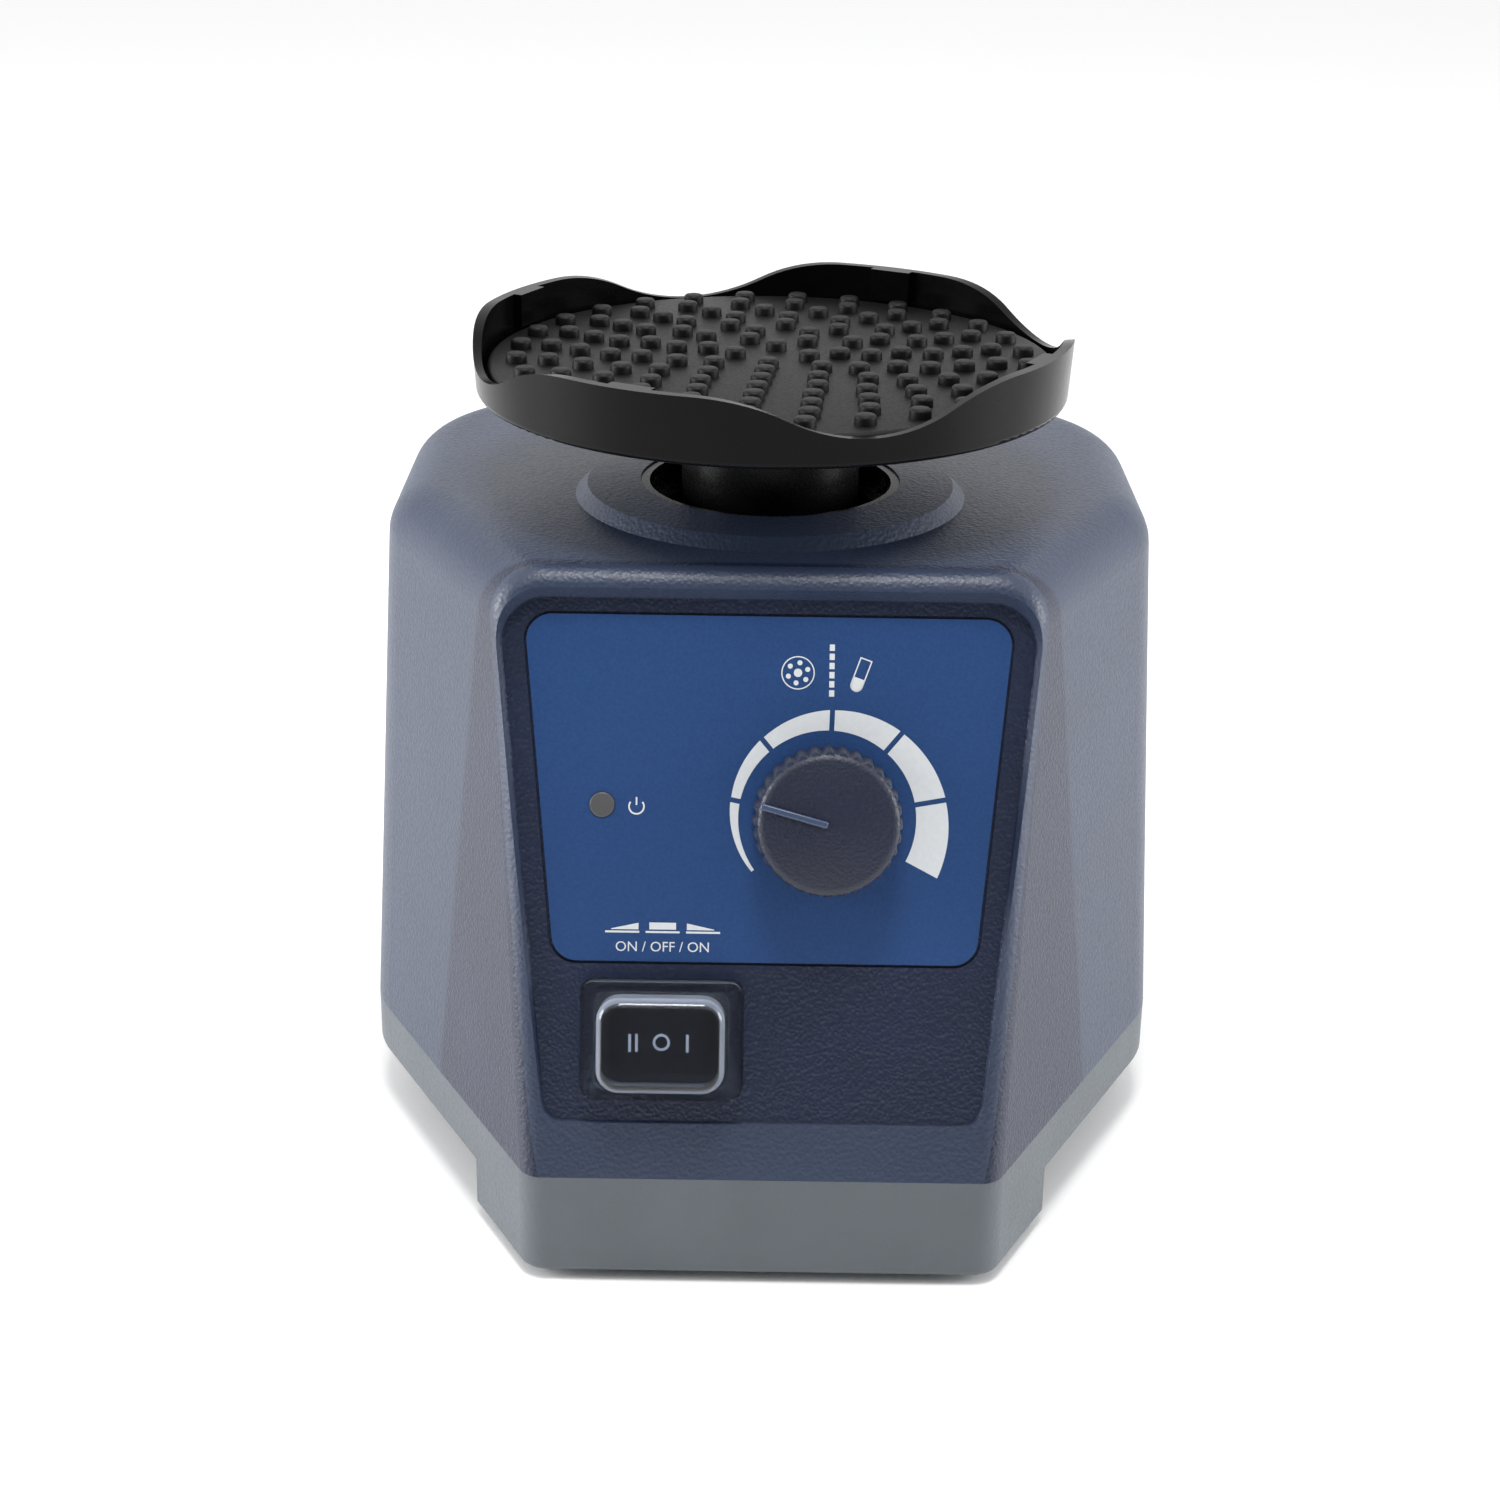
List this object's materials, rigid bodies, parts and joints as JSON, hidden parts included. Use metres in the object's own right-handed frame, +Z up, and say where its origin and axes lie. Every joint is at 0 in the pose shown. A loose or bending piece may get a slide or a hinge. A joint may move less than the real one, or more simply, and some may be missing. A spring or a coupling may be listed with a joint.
{
  "type": "vortex mixer",
  "caption": "Bench vortex mixer: wedge-fronted casing, lobed round platform with a nubbed mat on an orbital drive, speed knob, capped rocker switch and rear mains inlet.",
  "frame": {"origin": "on the table under the motor's axis, which is also the middle of the part's footprint", "axes": "+Z up along the motor's axis, -Y towards the control panel at the front, +X to the right as seen from the front"},
  "size_m": [0.138, 0.1464, 0.1391],
  "materials": {
    "casing_plastic": "fine leather grain, semi-matt",
    "base_plastic": "fine grain, semi-matt",
    "rubber": "matt",
    "black_plastic": "satin",
    "label_film": "satin film",
    "knob_plastic": "satin",
    "clear_plastic": "clear, glossy",
    "lens_plastic": "translucent",
    "board_laminate": "glossy",
    "bright_steel": "machined",
    "plate_steel": "matt",
    "lamination_steel": "matt",
    "aluminium": "die cast",
    "copper": "enamelled wire",
    "brass": "bright"
  },
  "bodies": {
    "housing": {"base_pan": "base_plastic", "foot_front_left": "rubber", "foot_front_right": "rubber", "foot_rear_left": "rubber", "foot_rear_right": "rubber", "case_screws": "bright_steel", "upper_casing": "casing_plastic", "neck_sleeve": "black_plastic", "control_label": "label_film", "indicator_lens": "lens_plastic", "indicator_diode": "lens_plastic", "control_board": "board_laminate", "board_parts": "board_laminate", "board_screws": "bright_steel", "potentiometer": "aluminium", "pot_nut": "bright_steel", "switch_housing": "black_plastic", "switch_terminals": "brass", "switch_cap": "clear_plastic", "power_inlet": "black_plastic", "inlet_blades": "brass", "ballast_plate": "plate_steel", "ballast_screws": "bright_steel", "isolators": "rubber", "guide_screws": "bright_steel", "touch_switch": "black_plastic"},
    "motor_carriage": {"motor_plate": "plate_steel", "motor_lower_bell": "aluminium", "motor_can": "plate_steel", "motor_upper_bell": "aluminium", "motor_screws": "bright_steel", "lower_bearing": "bright_steel", "upper_bearing": "bright_steel", "stator_stack": "lamination_steel", "stator_winding": "copper"},
    "rotor": {"motor_shaft": "bright_steel", "rotor_core": "lamination_steel", "crank_disc": "lamination_steel", "crank_pin": "bright_steel", "bearing_spacer": "bright_steel", "crank_screw": "bright_steel"},
    "head": {"head_bearings": "bright_steel", "head_hub": "aluminium", "hub_clip": "bright_steel", "platform": "black_plastic", "platform_screws": "bright_steel", "nub_mat": "rubber"},
    "knob": {"speed_knob": "knob_plastic", "pot_spindle": "bright_steel"},
    "rocker": {"rocker": "black_plastic"},
    "touch_plunger": {"touch_plunger": "black_plastic"}
  },
  "joints": [
    {"name": "touch_press", "type": "slide", "parent": "housing", "child": "motor_carriage", "axis": [0, 0, -1], "range_m": [0, 0.0015], "stiffness_N_per_m": 5000, "springref_m": -0.004, "deforming": ["isolators"]},
    {"name": "touch_plunger_slide", "type": "slide", "parent": "housing", "child": "touch_plunger", "axis": [0, 0, -1], "range_m": [0, 0.0015]},
    {"name": "rotor_spin", "type": "hinge", "parent": "motor_carriage", "child": "rotor", "pos_m": [0, 0, 0.0505], "axis": [0, 0, 1], "continuous": true},
    {"name": "head_orbit", "type": "hinge", "parent": "rotor", "child": "head", "pos_m": [0, 0.002, 0.096], "axis": [0, 0, 1], "continuous": true},
    {"name": "speed_turn", "type": "hinge", "parent": "housing", "child": "knob", "pos_m": [0.0095, -0.05218, 0.07312], "axis": [0, 0.9455, -0.3256], "range_deg": [-46, 192]},
    {"name": "rocker_tilt", "type": "hinge", "parent": "housing", "child": "rocker", "pos_m": [-0.016, -0.06125, 0.03912], "axis": [0, 0.3256, 0.9455], "range_deg": [-10, 10]}
  ],
  "couplings": [
    {"joint": "touch_plunger_slide", "follows": "touch_press", "ratio": 1},
    {"joint": "head_orbit", "follows": "rotor_spin", "ratio": -1}
  ]
}
